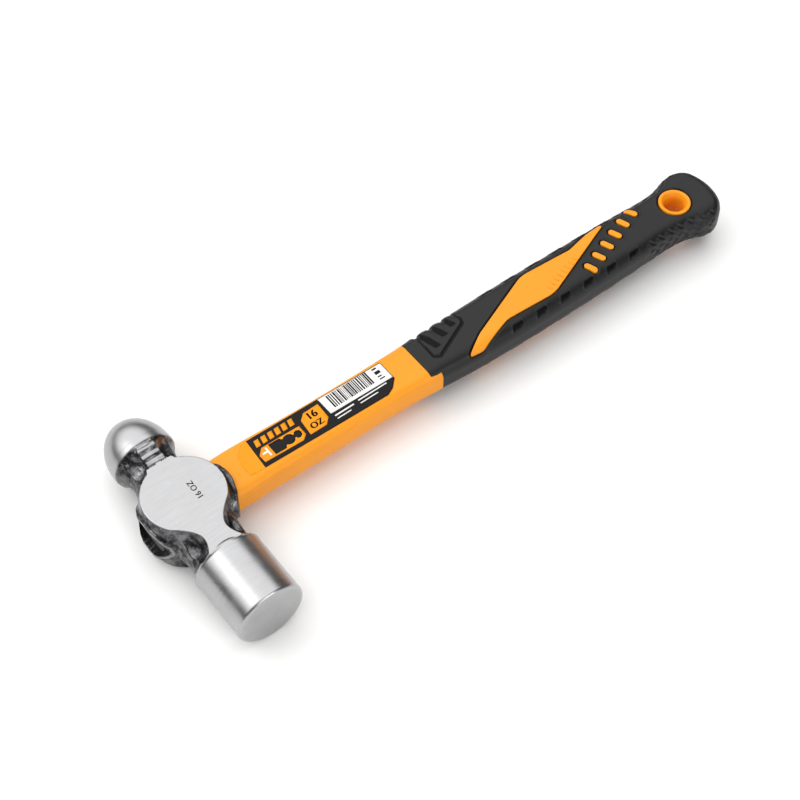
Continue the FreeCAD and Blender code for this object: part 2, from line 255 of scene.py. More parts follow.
def forged_radius(y, turn):
    """How far the forging reaches from the striking axis at each Y and turn round it."""
    c = np.maximum(abs(np.cos(turn)), 1e-3)
    s = np.maximum(abs(np.sin(turn)), 1e-3)
    strike = through(NECK_PROFILE, y) + 0 * turn
    for cx, cy, cz in HOLLOWS:
        along = cx * c + cz * s
        inside = along ** 2 - (cx ** 2 + cz ** 2 + (y - cy) ** 2 - HOLLOW_R ** 2)
        entry = along - np.sqrt(np.maximum(inside, 0))
        strike = np.where(inside > 0, soft_min(strike, entry, 0.5), strike)

    height = np.full_like(strike, CHEEK_Z) * 0.5
    barrel = strike * 0
    for _ in range(25):
        waist = BODY_R - (BODY_R - CHEEK_R) * (height / CHEEK_Z) ** 2
        side = np.sqrt(np.maximum(waist ** 2 - y ** 2, 0)) / c
        barrel = np.minimum(side, CHEEK_Z / s)
        height = 0.5 * height + 0.5 * np.minimum(barrel * s, CHEEK_Z)
    reach = POCKET_R ** 2 - (y - POCKET_Y) ** 2
    pocket = (POCKET_X - np.sqrt(np.maximum(reach, 0))) / c
    barrel = np.where(reach > 0, soft_min(barrel, pocket, 0.8), barrel)

    flank = through(POLL_FLAT, y, 2)
    web = (through(POLL_FLAT, y) + flank * CHEEK_Z) / (c + flank * s)
    poll_web = np.where(y < -10.5, np.minimum(web, CHEEK_Z / s), 0)
    root = PEEN_FLAT_X + 0.5 * np.maximum(PEEN_FLAT_Y - y, 0)
    web = (root + PEEN_FLANK * CHEEK_Z) / (c + PEEN_FLANK * s)
    peen_web = np.where((y > 10) & (y < PEEN_FLAT_Y), np.minimum(web, CHEEK_Z / s), 0)
    flats = np.maximum(np.maximum(barrel, poll_web), peen_web)

    ridge = strike * 0
    start = PEEN_FLAT_Y - 1
    for end, top in RIDGE_STEPS:
        step = np.minimum(np.where(np.cos(turn) < 0, -RIDGE_X[0], RIDGE_X[1]) / c, top / s)
        ridge = np.where((y > start) & (y <= end), step, ridge)
        start = end

    boss_half = np.sqrt(np.maximum(1 - (y / BOSS_Y) ** 2, 0)) * BOSS_Z
    reach = np.where(np.cos(turn) < 0, EYE_REACH - 0.6 * (y / BOSS_Y) ** 2, SEAT_R)
    boss = np.minimum(np.sqrt(np.maximum(reach ** 2 - y ** 2, 0)) / c, boss_half / s)

    whole = soft_max(soft_max(flats, strike, FLAT_FILLET), boss, BOSS_FILLET)
    whole = soft_max(whole, ridge, RIDGE_FILLET)
    capped = np.where(abs(y) < FORGED_END, np.maximum(CHEEK_Z / s, strike), whole)
    whole = np.minimum(whole, capped)
    whole = np.minimum(whole, (POLL_R - 0.02) / s)
    whole = np.where(np.cos(turn) < 0, np.minimum(whole, (EYE_REACH - 0.12) / c), whole)
    floor = EYE_FLOOR / c
    tunnel = np.sqrt((y / EYE_Y) ** 2 + (floor * s / EYE_Z) ** 2)
    open_eye = (np.cos(turn) < 0) & (tunnel < 1)
    return np.where(open_eye, floor, whole), tunnel


def piece(name, points, faces, materials):
    """Makes a mesh piece on the root body from points in millimetres."""
    mesh = bpy.data.meshes.new(name)
    mesh.from_pydata(np.asarray(points, float) * MM + np.array(eye_centre), [], faces)
    mesh.polygons.foreach_set("use_smooth", [True] * len(mesh.polygons))
    for material in materials:
        mesh.materials.append(material)
    mesh.update()
    made = bpy.data.objects.new(name, mesh)
    bpy.context.collection.objects.link(made)
    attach(made, "root")
    return made


def net(rows, columns):
    """Quads of a grid whose rows close on themselves."""
    r, c = np.meshgrid(np.arange(rows - 1), np.arange(columns), indexing="ij")
    n = (c + 1) % columns
    return np.stack([r * columns + c, r * columns + n, (r + 1) * columns + n,
                     (r + 1) * columns + c], -1).reshape(-1, 4).tolist()


turn = np.linspace(0, 2 * math.pi, COLUMNS, endpoint=False)[None, :]
edge = np.radians(np.linspace(0, 90, 9))
face_rows = [(FACE_Y, r) for r in np.linspace(0.8, FACE_R, 8)]
face_rows += [(FACE_Y + FACE_EDGE * (1 - math.cos(a)), FACE_R + (POLL_R - FACE_R) * math.sin(a))
              for a in edge[1:]]
face_rows += [(y, POLL_R) for y in np.linspace(FACE_Y + FACE_EDGE, -29.2, 50)[1:]]
middle = np.arange(-FORGED_END, PEEN_Y, ROW_STEP)
dome_rows = [(PEEN_Y + (PEEN_REACH - PEEN_Y) * math.sin(a), PEEN_R * math.cos(a))
             for a in np.radians(np.linspace(0, 88.5, 64))]
forged, tunnel = forged_radius(middle[:, None], turn + 0 * middle[:, None])
radius = np.vstack([np.array([r for _, r in face_rows])[:, None] + 0 * turn, forged,
                    np.array([r for _, r in dome_rows])[:, None] + 0 * turn])
along = np.concatenate([[y for y, _ in face_rows], middle, [y for y, _ in dome_rows]])
along = along[:, None] + 0 * turn
x, z = radius * np.cos(turn), radius * np.sin(turn)

# How bright each point is ground: 1 on the cheeks and the turned ends, 0 on the scale; a thin ring
# round the eye's mouth is a painted highlight.
cheek = ramp(abs(z), CHEEK_Z - 0.22, CHEEK_Z - 0.06) * (abs(along) < FORGED_END)
bright = np.maximum(cheek, np.maximum(ramp(-along, 27.6, 28.4), ramp(along, 30.0, 30.8)))
for start, end in RIDGE_BRIGHT:
    strip = ramp(along, start, start + 0.3) * ramp(-along, -end, 0.3 - end)
    strip = strip * ramp(x, -3.5, -3.1) * ramp(-x, -4.5, -4.1) * (abs(z) > 9)
    bright = np.maximum(bright, strip * 0.7)
# Painted highlight: a thin ring round the mouth of the eye, on its flanks only, is made bright
# ground steel, standing in for the light line that the rim catches.
rim_highlight = 0.6 * np.exp(-((tunnel - 1.14) / 0.05) ** 2) * (np.cos(turn) < 0)
bright[len(face_rows):len(face_rows) + len(middle)] += rim_highlight * (abs(np.sin(turn)) < 0.6)
bright = np.minimum(bright, 1)
# Painted shade: the walls inside the open eye are painted dark, standing in for the shade deep in
# the hole: 1 there and 0 elsewhere.
painted_eye_shade = np.zeros_like(bright)
painted_eye_shade[len(face_rows):len(face_rows) + len(middle)] = (tunnel < 1.03) * (np.cos(turn) < 0)
points = np.stack([x, along, z], -1).reshape(-1, 3)
scale_roughness = np.zeros(len(points))
dull = (1 - bright).reshape(-1)
for k in np.nonzero(dull > 0.02)[0]:
    p = Vector(points[k])
    lumps = 0.16 * noise.fractal(p / 3.1, 0.8, 2.1, 3) + 0.05 * noise.noise(p / 0.8)
    scale_roughness[k] = lumps * dull[k]
outward = np.stack([np.cos(turn) + 0 * along, 0 * along, np.sin(turn) + 0 * along], -1)
points = points + outward.reshape(-1, 3) * (scale_roughness - 0.12 * dull)[:, None]

rows = len(along)
head_faces = net(rows, COLUMNS)
face_pole, peen_pole = len(points), len(points) + 1
points = np.vstack([points, [(0, FACE_Y, 0), (0, PEEN_REACH, 0)]])
for k in range(COLUMNS):
    n = (k + 1) % COLUMNS
    head_faces.append((face_pole, n, k))
    head_faces.append((peen_pole, (rows - 1) * COLUMNS + k, (rows - 1) * COLUMNS + n))

head_steel, tree = blank_material("forged_steel_part_ground")
# Ground steel shows fine parallel scratches and broad soft reflections; the forging
# scale left in the recesses is dark, uneven and slightly oily.
SCRATCH = 0.35           # spacing of the scratches, coarser than real grinding so that it shows
LAY = 9.0                # their length
GRAIN = 4.2              # size of the scale's patches
CLOUD = 7.0              # slow changes in the ground steel's shine
place = add(tree, "ShaderNodeTexCoord").outputs["Object"]
ground_and_rim_highlight = add(tree, "ShaderNodeAttribute", attribute_name="ground_and_rim_highlight").outputs["Fac"]
stretched = add(tree, "ShaderNodeMapping", {
    "Vector": place, "Scale": (1000 / LAY, 1000 / SCRATCH, 1000 / LAY)})
scratches = add(tree, "ShaderNodeTexNoise", {
    "Vector": stretched.outputs[0], "Scale": 1.0, "Detail": 3.0, "Roughness": 0.6}).outputs["Fac"]
even = add(tree, "ShaderNodeMapping", {"Vector": place, "Scale": (1000 / GRAIN,) * 3})
patches = add(tree, "ShaderNodeTexNoise", {
    "Vector": even.outputs[0], "Scale": 1.0, "Detail": 5.0, "Roughness": 0.62}).outputs["Fac"]
cloudy = add(tree, "ShaderNodeTexNoise", {
    "Vector": place, "Scale": 1000 / CLOUD, "Detail": 2.0}).outputs["Fac"]
steel_tone = add(tree, "ShaderNodeMix", {
    0: scratches, 6: linear("#9E9E9F"), 7: linear("#B8B8B9")}, data_type="RGBA")
worn = add(tree, "ShaderNodeMapRange", {
    "Value": patches, "From Min": 0.4, "From Max": 0.68}).outputs[0]
scale_tone = add(tree, "ShaderNodeMix", {
    0: worn, 6: linear("#29292B"), 7: linear("#7E7E80")}, data_type="RGBA")
# Painted shade: where this mask is 1 the eye's walls are mixed to near black, standing in for the
# shade inside the hole.
eye_shade_mask = add(tree, "ShaderNodeAttribute", attribute_name="painted_eye_shade").outputs["Fac"]
steel = add(tree, "ShaderNodeMix", {
    0: ground_and_rim_highlight, 6: scale_tone.outputs[2], 7: steel_tone.outputs[2]}, data_type="RGBA")
tone = add(tree, "ShaderNodeMix", {
    0: eye_shade_mask, 6: steel.outputs[2], 7: linear("#1A1A1C")}, data_type="RGBA")
steel_gloss = add(tree, "ShaderNodeMapRange", {
    "Value": cloudy, "From Min": 0.3, "From Max": 0.7, "To Min": 0.27, "To Max": 0.36}).outputs[0]
scale_gloss = add(tree, "ShaderNodeMapRange", {
    "Value": patches, "From Min": 0.3, "From Max": 0.7, "To Min": 0.36, "To Max": 0.2}).outputs[0]
gloss = add(tree, "ShaderNodeMix", {0: ground_and_rim_highlight, 2: scale_gloss, 3: steel_gloss}).outputs[0]
scratch_bump = add(tree, "ShaderNodeBump", {
    "Height": scratches, "Strength": 0.35, "Distance": 0.00003}).outputs[0]
scale_bump = add(tree, "ShaderNodeBump", {
    "Height": patches, "Strength": 0.8, "Distance": 0.0004}).outputs[0]
relief = add(tree, "ShaderNodeMix", {
    0: ground_and_rim_highlight, 4: scale_bump, 5: scratch_bump}, data_type="VECTOR")
finish_material(tree, add(tree, "ShaderNodeBsdfPrincipled", {
    "Base Color": tone.outputs[2], "Metallic": 1.0, "Roughness": gloss,
    "Normal": relief.outputs[1]}))

forging = piece("forged_head", points, head_faces, [head_steel])
for name, values, at_poles in (("ground_and_rim_highlight", bright, 1.0), ("painted_eye_shade", painted_eye_shade, 0.0)):
    layer = forging.data.attributes.new(name, "FLOAT", "POINT")
    whole = np.append(values.reshape(-1), [at_poles, at_poles])
    layer.data.foreach_set("value", whole.astype(np.float32))
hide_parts("hammer_head")


# --- Rod and resin in the eye -----------------------------------------------------------
# The end of the pultruded glass fibre rod stands in dark epoxy that was poured round it
# through the open end of the eye.
rod_material, tree = blank_material("pultruded_fibreglass")
# Glass strands lie along the rod and show as fine streaks under a dull resin skin.
STRAND = 0.4             # width of a streak, coarser than real strands so that it shows
STRAND_LONG = 25.0
place = add(tree, "ShaderNodeTexCoord").outputs["Object"]
strands = add(tree, "ShaderNodeMapping", {
    "Vector": place, "Scale": (1000 / STRAND_LONG, 1000 / STRAND, 1000 / STRAND)})
streak = add(tree, "ShaderNodeTexNoise", {
    "Vector": strands.outputs[0], "Scale": 1.0, "Detail": 3.0})
tone = add(tree, "ShaderNodeMix", {
    0: streak.outputs["Fac"], 6: linear("#242423"), 7: linear("#454440")}, data_type="RGBA")
grain = add(tree, "ShaderNodeBump", {
    "Height": streak.outputs["Fac"], "Strength": 0.5, "Distance": 0.0001})
finish_material(tree, add(tree, "ShaderNodeBsdfPrincipled", {
    "Base Color": tone.outputs[2], "Roughness": 0.45, "Normal": grain.outputs[0]}))

resin_material, tree = blank_material("poured_epoxy")
# Cast epoxy sets with a glossy, slightly sunken and dusty skin.
SPECK = 10 / 9           # size of the dust's patches
place = add(tree, "ShaderNodeTexCoord").outputs["Object"]
dust = add(tree, "ShaderNodeTexNoise", {"Vector": place, "Scale": 1000 / SPECK, "Detail": 4.0})
tone = add(tree, "ShaderNodeMix", {
    0: dust.outputs["Fac"], 6: linear("#0C0C0E"), 7: linear("#222225")}, data_type="RGBA")
gloss = add(tree, "ShaderNodeMapRange", {
    "Value": dust.outputs["Fac"], "To Min": 0.15, "To Max": 0.6}).outputs[0]
sunken = add(tree, "ShaderNodeBump", {
    "Height": dust.outputs["Fac"], "Strength": 0.7, "Distance": 0.0004})
finish_material(tree, add(tree, "ShaderNodeBsdfPrincipled", {
    "Base Color": tone.outputs[2], "Roughness": gloss, "Normal": sunken.outputs[0]}))

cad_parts["fibreglass_core"].material_slots[0].material = rod_material
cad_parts["eye_resin"].material_slots[0].material = resin_material


# --- Plastic jacket: the bare neck ------------------------------------------------------
# Orange plastic is moulded round the rod.  Between the head and the rubber it is bare: a
# flat-sided bar with round corners whose end is shaped to the boss of the eye.
GRIP_X = 114.3           # where the rubber starts
TAB_X = 118.0            # how far the orange runs on along the narrow sides
NECK = [                 # along X: drift of the centre line, half width, half thickness, corner
    (12.0, 1.1, 11.2, 7.2, 4.6), (24.0, 1.1, 11.5, 7.2, 4.6), (36.0, 1.0, 11.2, 7.2, 4.4),
    (52.0, 0.5, 10.9, 7.2, 4.2), (68.0, 0.2, 10.7, 7.2, 4.2), (90.0, 0.0, 10.7, 7.2, 4.2),
    (104.0, -0.2, 11.0, 7.2, 4.3), (111.0, -0.4, 11.3, 7.25, 4.5), (114.0, -0.5, 11.65, 7.3, 4.8),
    (120.0, -0.7, 11.95, 7.4, 5.0),
]


def quarter_ring(side, corner, flat):
    """Quarter of a section: corner-centre factors and outward direction, Y and Z of each."""
    steps = [(1, t, 1, 0) for t in np.linspace(0, 1, side, endpoint=False)]
    steps += [(1, 1, math.cos(a), math.sin(a))
              for a in np.radians(np.linspace(0, 90, corner, endpoint=False))]
    steps += [(t, 1, 0, 1) for t in np.linspace(1, 0, flat + 1)]
    return np.array(steps, float)


def whole_ring(quarter):
    """The full section from four mirrored quarters, starting in the middle of the +Y side."""
    left, low = np.array([-1, 1, -1, 1]), np.array([1, -1, 1, -1])
    return np.vstack([quarter, quarter[-2::-1] * left, quarter[1:] * left * low,
                      quarter[-2:0:-1] * low]).T[:, None, :]


def section(stations, x, ring, inset=0.0):
    """Y and Z of the handle's surface for each distance along it and step round it."""
    centre, wide, thick, corner = (through(stations, x, k) for k in (1, 2, 3, 4))
    corner_y, corner_z, out_y, out_z = ring
    soft = np.maximum(corner - inset, 0.3)
    y = centre + corner_y * (wide - inset - soft) + out_y * soft
    return y, corner_z * (thick - inset - soft) + out_z * soft


def tube_faces(rows, columns):
    """Faces of a closed bar: its net and a strip across each end."""
    faces = net(rows, columns)
    for k in range(columns // 2):
        far = (columns - k) % columns
        faces.append((k, far, columns - k - 1, k + 1))
        last = (rows - 1) * columns
        faces.append((last + k + 1, last + columns - k - 1, last + far, last + k))
    return faces


orange_plastic, tree = blank_material("moulded_orange_plastic")
# Moulded polypropylene: a satin skin from a lightly spark-eroded mould, with slow drifts of
# tone and shine where the plastic flowed.
SPARK_GRAIN = 0.5        # grain of the skin, coarser than real spark erosion so that it shows
FLOW = 22.0              # size of the drifts
place = add(tree, "ShaderNodeTexCoord").outputs["Object"]
skin = add(tree, "ShaderNodeTexNoise", {
    "Vector": place, "Scale": 1000 / SPARK_GRAIN, "Detail": 2.0}).outputs["Fac"]
flow = add(tree, "ShaderNodeTexNoise", {
    "Vector": place, "Scale": 1000 / FLOW, "Detail": 2.0}).outputs["Fac"]
tone = add(tree, "ShaderNodeMix", {
    0: flow, 6: linear("#EC9210"), 7: linear("#F49C18")}, data_type="RGBA")
gloss = add(tree, "ShaderNodeMapRange", {
    "Value": flow, "To Min": 0.36, "To Max": 0.48}).outputs[0]
eroded = add(tree, "ShaderNodeBump", {"Height": skin, "Strength": 0.3, "Distance": 0.00003})
finish_material(tree, add(tree, "ShaderNodeBsdfPrincipled", {
    "Base Color": tone.outputs[2], "Roughness": gloss, "Specular IOR Level": 0.3,
    "Normal": eroded.outputs[0]}))

ring = whole_ring(quarter_ring(8, 14, 16))
x = np.linspace(13.0, TAB_X + 1.4, 230)[:, None]
y, z = section(NECK, x, ring)
seat = np.sqrt(np.maximum(SEAT_R ** 2 - y ** 2, 0)) - 0.15
x = x + (seat - 13.0) * (1 - ramp(x, 13.0, 30.0))
neck_points = np.stack([x + 0 * y, y, z], -1).reshape(-1, 3)
neck = piece("jacket_neck", neck_points, tube_faces(*y.shape), [orange_plastic])
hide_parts("handle_jacket")


# --- Rubber grip ------------------------------------------------------------------------
# Soft black thermoplastic rubber is moulded over the jacket from the neck to the butt.  It
# has thumb slots, finger slots, treads and windows through which the orange plastic stands.
BUTT_X = 278.58
CAP_R = 23.0             # plan radius of the butt
CAP_ROUND = 5.0
GRIP = [
    (GRIP_X, -0.5, 11.8, 7.8, 5.4), (124.0, -0.8, 12.1, 8.1, 5.8), (140.0, -1.2, 12.8, 8.4, 6.3),
    (160.0, -1.5, 13.2, 8.6, 6.6), (185.0, -1.8, 13.2, 8.6, 6.6), (210.0, -2.0, 12.9, 8.4, 6.4),
    (232.0, -2.1, 12.5, 8.1, 6.2), (246.0, -2.3, 12.0, 7.9, 6.0), (254.0, -2.5, 12.4, 8.0, 6.2),
    (262.0, -2.7, 13.7, 8.4, 6.5), (268.0, -2.9, 15.1, 8.9, 6.9), (273.0, -2.9, 15.6, 9.2, 7.0),
    (282.6, -2.9, 15.6, 9.3, 7.0),
]
INLAY = [                # outline of the orange inlay, seen from above
    (133.6, -12.2), (140.6, -12.9), (157.5, -7.9), (180.7, -9.1), (184.6, -8.5), (223.9, 6.9),
    (223.2, 8.4), (216.0, 7.9), (203.1, 4.9), (178.7, 6.5), (175.6, 6.1), (143.6, -6.5),
]
MARKS = 6                # plain pads in a slanting row
MARK_START = (203.9, -8.2)
MARK_END = (239.0, 5.2)
MARK_LONG = 6.4
MARK_WIDE = 2.8
HOLE = (258.2, -2.4)
EYELET_R = 7.2
HOLE_R = 4.5
THUMB_GROOVE = [(120.8, 13.0), (121.5, 3.1), (121.3, -4.0), (123.4, -5.6), (141.4, 2.3),
                (142.4, 4.6), (141.3, 8.0), (140.6, 13.0)]
THUMB_SLOTS = [(125.9, -1.2), (131.8, 1.5), (137.7, 3.5)]    # inner end of each slot
SLOT_SLANT = -0.3
SLOT_HALF = 1.35
PIPS = 6                 # finger slots on the shoulders
PIP_X = 159.7
PIP_PITCH = 13.1
PIP_LONG = 1.9           # half length and half height of a slot before its corners are rounded
PIP_TALL = 0.6
PIP_ROUND = 0.7
PIP_DEPTH = 1.4
SHOULDER = math.radians(43)
TREADS = 7               # wavy treads near the butt, in two rows
TREAD_X = 234.6
TREAD_PITCH = 5.45
TREAD_ROWS = [(0.0, 0.0), (1.8, 4.0)]    # shift along X of each row, and how far down it lies
TREAD = [(-2.2, -0.1), (0.1, -0.6), (1.5, 1.2), (2.6, 1.4)]
GROOVE_DEPTH = 0.8


def to_segment(x, y, a, b):
    """Distance from each point to the segment from a to b."""
    dx, dy = b[0] - a[0], b[1] - a[1]
    t = np.clip(((x - a[0]) * dx + (y - a[1]) * dy) / (dx * dx + dy * dy), 0, 1)
    return np.hypot(x - a[0] - t * dx, y - a[1] - t * dy)


def to_path(x, y, path):
    """Distance from each point to an open path."""
    return np.min([to_segment(x, y, a, b) for a, b in zip(path, path[1:])], axis=0)


def to_outline(x, y, outline):
    """Distance to a closed outline, negative inside it."""
    closed = list(outline) + [outline[0]]
    inside = np.zeros(np.shape(x), bool)
    for a, b in zip(closed, closed[1:]):
        crosses = (a[1] > y) != (b[1] > y)
        reach = (b[0] - a[0]) * (y - a[1]) / ((b[1] - a[1]) or 1e-9) + a[0]
        inside ^= crosses & (x < reach)
    return np.where(inside, -1, 1) * to_path(x, y, closed)


def rounded(outline, radius, steps=5):
    """A closed outline with its corners rounded by curves of about the radius."""
    made = []
    count = len(outline)
    for k, corner in enumerate(outline):
        corner = np.array(corner, float)
        before = np.array(outline[k - 1], float) - corner
        after = np.array(outline[(k + 1) % count], float) - corner
        a = corner + before * min(radius / np.linalg.norm(before), 0.45)
        b = corner + after * min(radius / np.linalg.norm(after), 0.45)
        for t in np.linspace(0, 1, steps):
            made.append(tuple((1 - t) ** 2 * a + 2 * t * (1 - t) * corner + t * t * b))
    return made


def evenly(outline, spacing):
    """A closed outline with points added along its longer sides."""
    made = []
    for a, b in zip(outline, outline[1:] + outline[:1]):
        count = max(1, math.ceil(math.dist(a, b) / spacing))
        for k in range(count):
            t = k / count
            made.append((a[0] + t * (b[0] - a[0]), a[1] + t * (b[1] - a[1])))
    return made


def pad_outline(x, y, long, wide, angle):
    """A pad with round ends, turned in plan."""
    half, r = (long - wide) / 2, wide / 2
    arc = np.radians(np.linspace(-90, 90, 9))
    ends = [(half + r * math.cos(a), r * math.sin(a)) for a in arc]
    ends += [(-half - r * math.cos(a), -r * math.sin(a)) for a in arc]
    c, s = math.cos(angle), math.sin(angle)
    return [(x + c * u - s * v, y + s * u + c * v) for u, v in ends]


inlay_outline = rounded(INLAY, 1.6)
slant = math.atan2(MARK_END[1] - MARK_START[1], MARK_END[0] - MARK_START[0])
mark_outlines = []
for k in range(MARKS):
    t = k / (MARKS - 1)
    centre = [a + t * (b - a) for a, b in zip(MARK_START, MARK_END)]
    mark_outlines.append(pad_outline(*centre, MARK_LONG, MARK_WIDE, slant + math.pi / 2))


def rubber_relief(x, y, z):
    """How far the rubber stands out of, or sinks into, its smooth form."""
    centre, wide, thick, corner = (through(GRIP, x, k) for k in (1, 2, 3, 4))
    window = to_outline(x, y, inlay_outline)
    for outline in mark_outlines:
        window = np.minimum(window, to_outline(x, y, outline))
    window = np.minimum(window, np.hypot(x - HOLE[0], y - HOLE[1]) - EYELET_R)
    relief = -GROOVE_DEPTH * (1 - ramp(window, 0.3, 0.75))
    relief = relief + 0.12 * np.exp(-((window - 1.1) / 0.35) ** 2)

    upper = ramp(abs(z), 1.5, 3.0)
    groove = to_path(x, y, THUMB_GROOVE)
    relief -= 0.6 * (1 - ramp(groove, 0.35, 0.9)) * upper
    for slot_x, slot_y in THUMB_SLOTS:
        off = abs(x - slot_x - SLOT_SLANT * (y - slot_y))
        slot = (1 - ramp(off, SLOT_HALF - 0.1, SLOT_HALF + 0.2)) * ramp(y, slot_y, slot_y + 0.5)
        relief -= 0.85 * slot * upper
        rib = ramp(y, slot_y + 2, slot_y + 5) * np.exp(-((abs(off - 2.9)) / 0.8) ** 2)
        relief += 0.15 * rib * upper

    for side in (-1, 1):
        shoulder_y = side * (y - centre) - (wide - corner) - corner * math.sin(SHOULDER)
        shoulder_z = abs(z) - (thick - corner) - corner * math.cos(SHOULDER)
        down = math.cos(SHOULDER) * shoulder_y - math.sin(SHOULDER) * shoulder_z
        for k in range(PIPS):
            off_x = abs(x - (PIP_X + k * PIP_PITCH) + 0.45 * down) - PIP_LONG
            off_v = abs(down) - PIP_TALL
            d = (np.hypot(np.maximum(off_x, 0), np.maximum(off_v, 0))
                 + np.minimum(np.maximum(off_x, off_v), 0) - PIP_ROUND)
            relief -= PIP_DEPTH * (1 - ramp(d, -0.3, 0.15))
            relief += 0.2 * np.exp(-((d - 0.55) / 0.3) ** 2)
        for k in range(TREADS):
            for shift, level in TREAD_ROWS:
                u = x - (TREAD_X + k * TREAD_PITCH + shift)
                near = abs(u) < 4
                d = np.where(near, to_path(u, down - level, TREAD), 9)
                relief -= 0.42 * (1 - ramp(d, 0.15, 0.75))
                lip = np.where(near, to_path(u, down - level - 1.3, TREAD), 9)
                relief += 0.15 * (1 - ramp(lip, 0.0, 1.2))
    return relief


ring = whole_ring(quarter_ring(18, 22, 26))
cap_start = BUTT_X - CAP_ROUND
bend = np.radians(np.linspace(0, 90, 15))[1:]
front = [(GRIP_X, 0.9), (GRIP_X, 0.35), (GRIP_X + 0.06, 0.15), (GRIP_X + 0.2, 0.04)]
lengths = [x for x, _ in front] + list(np.arange(GRIP_X + 0.4, cap_start, 0.32)) + [cap_start]
lengths += [cap_start + CAP_ROUND * math.sin(a) for a in bend]
insets = [i for _, i in front] + [0.0] * (len(lengths) - len(front) - len(bend))
insets += [CAP_ROUND * (1 - math.cos(a)) for a in bend]
x = np.array(lengths)[:, None]
inset = np.array(insets)[:, None]
y, z = section(GRIP, x, ring, inset)
centre = through(GRIP, x)
sagitta = CAP_R - np.sqrt(CAP_R ** 2 - (y - GRIP[-1][1]) ** 2)
x = x - sagitta * ramp(x, 250.0, cap_start)
tab = ramp(abs(y - centre), 10.0, 10.9) * (TAB_X - GRIP_X)
x = x + tab * (1 - ramp(x, GRIP_X, GRIP_X + 14))
relief = rubber_relief(x, y, z) * (inset <= 0)
rubber_points = np.stack([x, y + ring[2] * relief, z + ring[3] * relief], -1).reshape(-1, 3)
hole_distance = np.hypot(rubber_points[:, 0] - HOLE[0], rubber_points[:, 1] - HOLE[1])
rubber_faces = [f for f in tube_faces(*y.shape) if min(hole_distance[list(f)]) > EYELET_R - 0.5]

rubber, tree = blank_material("moulded_black_rubber")
# Soft thermoplastic rubber: a dry, slightly dusty skin with a fine leather grain.
LEATHER = 0.55           # grain of the skin, coarser than the real one so that it shows
DUST_PATCH = 9.0         # size of the dustier patches
place = add(tree, "ShaderNodeTexCoord").outputs["Object"]
skin = add(tree, "ShaderNodeTexVoronoi", {
    "Vector": place, "Scale": 1000 / LEATHER}, feature="SMOOTH_F1").outputs["Distance"]
dust = add(tree, "ShaderNodeTexNoise", {
    "Vector": place, "Scale": 1000 / DUST_PATCH, "Detail": 4.0}).outputs["Fac"]
tone = add(tree, "ShaderNodeMix", {
    0: dust, 6: linear("#111112"), 7: linear("#1B1B1C")}, data_type="RGBA")
# Painted shade: the sunk grooves and slots are painted darker and given less shine than the rest of
# the skin, standing in for the shade that falls in them.
recess_shade = add(tree, "ShaderNodeAttribute", attribute_name="painted_recess_shade").outputs["Fac"]
tone = add(tree, "ShaderNodeMix", {
    0: recess_shade, 6: tone.outputs[2], 7: linear("#0D0D0E")}, data_type="RGBA")
sheen = add(tree, "ShaderNodeMapRange", {"Value": recess_shade, "To Min": 0.3, "To Max": 0.1}).outputs[0]
gloss = add(tree, "ShaderNodeMapRange", {"Value": dust, "To Min": 0.34, "To Max": 0.5}).outputs[0]
leather = add(tree, "ShaderNodeBump", {"Height": skin, "Strength": 0.35, "Distance": 0.00008})
finish_material(tree, add(tree, "ShaderNodeBsdfPrincipled", {
    "Base Color": tone.outputs[2], "Roughness": gloss, "Specular IOR Level": sheen,
    "Normal": leather.outputs[0]}))
grip = piece("rubber_sleeve", rubber_points, rubber_faces, [rubber])
# Painted shade: the deeper a point is sunk, the more painted shade its colour carries.
layer = grip.data.attributes.new("painted_recess_shade", "FLOAT", "POINT")
layer.data.foreach_set("value", ramp(-relief.reshape(-1), 0.25, 0.7).astype(np.float32))
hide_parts("rubber_grip")


# --- Inlay, marks and eyelet ------------------------------------------------------------
# Parts of the orange jacket that stand up through the windows in the rubber, moulded in one
# with the bare neck.  Plain pads and ribs take the place of raised words; the ribs are only
# on the upper side.
RIBS = 8
RIB_START = (182.4, -6.0)
RIB_STEP = (2.7, 0.83)


def top_height(stations, x, y):
    """Height of the handle's upper surface at each place."""
    centre, wide, thick, corner = (through(stations, x, k) for k in (1, 2, 3, 4))
    past = np.clip(abs(y - centre) - (wide - corner), 0, corner - 0.01)
    return thick - corner + np.sqrt(corner ** 2 - past ** 2)


